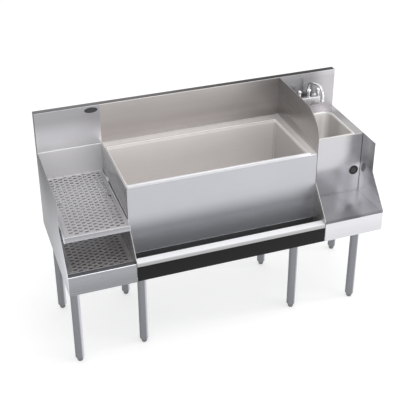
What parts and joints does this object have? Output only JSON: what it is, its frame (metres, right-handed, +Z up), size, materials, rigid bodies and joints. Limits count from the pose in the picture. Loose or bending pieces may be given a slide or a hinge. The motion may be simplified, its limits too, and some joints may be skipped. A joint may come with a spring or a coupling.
{
  "type": "underbar cocktail station",
  "caption": "Stainless underbar station with a two-tier perforated drainboard, insulated ice bin with speed rail, dump sink with faucet, blender bay and tall backsplash on legs.",
  "frame": {"origin": "on the floor, under the middle of the footprint", "axes": "+Z up, +Y towards the wall behind the backsplash, -Y the bartender side, +X towards the sink section"},
  "size_m": [1.524, 0.6096, 0.9908],
  "materials": {
    "satin_steel": "satin, fine brushed",
    "liner_steel": "satin",
    "galvanised": "dull galvanised",
    "black_coat": "satin black coating",
    "chrome": "polished",
    "rubber": "matt black",
    "foam": "rigid foam"
  },
  "bodies": {
    "station": {"backsplash_left": "satin_steel", "backsplash_centre": "satin_steel", "backsplash_right": "satin_steel", "end_panel_left": "satin_steel", "end_panel_right": "satin_steel", "divider_left": "satin_steel", "divider_right": "satin_steel", "bin_skirt": "satin_steel", "rail_cap": "satin_steel", "deck_pan": "satin_steel", "lower_pan": "satin_steel", "sink_deck": "satin_steel", "blender_shelf": "satin_steel", "bin_liner": "liner_steel", "sink_bowl": "liner_steel", "front_leg_channel": "galvanised", "rear_leg_channel": "galvanised", "bin_jacket": "galvanised", "bin_drain_nut": "galvanised", "deck_bracket_left": "galvanised", "deck_bracket_right": "galvanised", "faucet_nut_left": "galvanised", "faucet_nut_right": "galvanised", "speed_rail_trough": "black_coat", "rail_front": "black_coat", "badge_blank": "black_coat", "bin_drain": "chrome", "deck_drain": "chrome", "lower_drain": "chrome", "sink_drain": "chrome", "sink_tailpiece": "chrome", "faucet_body": "chrome", "valve_left": "chrome", "valve_right": "chrome", "cord_grommet": "rubber", "grommet_cap": "rubber", "bin_insulation": "foam", "leg_front_left": "satin_steel", "leg_front_inner_left": "satin_steel", "leg_front_inner_right": "satin_steel", "leg_front_right": "satin_steel", "leg_rear_left": "satin_steel", "leg_rear_inner_left": "satin_steel", "leg_rear_inner_right": "satin_steel", "leg_rear_right": "satin_steel"},
    "upper_insert": {"deck_insert": "satin_steel"},
    "tier_insert": {"lower_insert": "satin_steel"},
    "basket": {"sink_basket": "chrome"},
    "spout": {"faucet_spout": "chrome", "faucet_aerator": "chrome"},
    "knob_left": {"handle_left": "chrome"},
    "knob_right": {"handle_right": "chrome"},
    "levelling_foot_front_left": {"foot_front_left": "galvanised"},
    "levelling_foot_front_inner_left": {"foot_front_inner_left": "galvanised"},
    "levelling_foot_front_inner_right": {"foot_front_inner_right": "galvanised"},
    "levelling_foot_front_right": {"foot_front_right": "galvanised"},
    "levelling_foot_rear_left": {"foot_rear_left": "galvanised"},
    "levelling_foot_rear_inner_left": {"foot_rear_inner_left": "galvanised"},
    "levelling_foot_rear_inner_right": {"foot_rear_inner_right": "galvanised"},
    "levelling_foot_rear_right": {"foot_rear_right": "galvanised"}
  },
  "joints": [
    {"name": "upper_insert_lift", "type": "slide", "parent": "station", "child": "upper_insert", "axis": [0, 0, 1], "range_m": [0, 0.15]},
    {"name": "tier_insert_lift", "type": "slide", "parent": "station", "child": "tier_insert", "axis": [0, 0, 1], "range_m": [0, 0.08]},
    {"name": "basket_lift", "type": "slide", "parent": "station", "child": "basket", "axis": [0, 0, 1], "range_m": [0, 0.1]},
    {"name": "spout_swing", "type": "hinge", "parent": "station", "child": "spout", "pos_m": [0.602, 0.2329, 0.9206], "axis": [0, 0, 1], "range_deg": [-55, 90]},
    {"name": "knob_left_turn", "type": "hinge", "parent": "station", "child": "knob_left", "pos_m": [0.5512, 0.2329, 0.9006], "axis": [0, 0, 1], "range_deg": [-90, 0]},
    {"name": "knob_right_turn", "type": "hinge", "parent": "station", "child": "knob_right", "pos_m": [0.6528, 0.2329, 0.9006], "axis": [0, 0, 1], "range_deg": [0, 90]},
    {"name": "levelling_front_left", "type": "slide", "parent": "station", "child": "levelling_foot_front_left", "axis": [0, 0, -1], "range_m": [0, 0.025]},
    {"name": "levelling_front_inner_left", "type": "slide", "parent": "station", "child": "levelling_foot_front_inner_left", "axis": [0, 0, -1], "range_m": [0, 0.025]},
    {"name": "levelling_front_inner_right", "type": "slide", "parent": "station", "child": "levelling_foot_front_inner_right", "axis": [0, 0, -1], "range_m": [0, 0.025]},
    {"name": "levelling_front_right", "type": "slide", "parent": "station", "child": "levelling_foot_front_right", "axis": [0, 0, -1], "range_m": [0, 0.025]},
    {"name": "levelling_rear_left", "type": "slide", "parent": "station", "child": "levelling_foot_rear_left", "axis": [0, 0, -1], "range_m": [0, 0.025]},
    {"name": "levelling_rear_inner_left", "type": "slide", "parent": "station", "child": "levelling_foot_rear_inner_left", "axis": [0, 0, -1], "range_m": [0, 0.025]},
    {"name": "levelling_rear_inner_right", "type": "slide", "parent": "station", "child": "levelling_foot_rear_inner_right", "axis": [0, 0, -1], "range_m": [0, 0.025]},
    {"name": "levelling_rear_right", "type": "slide", "parent": "station", "child": "levelling_foot_rear_right", "axis": [0, 0, -1], "range_m": [0, 0.025]}
  ]
}
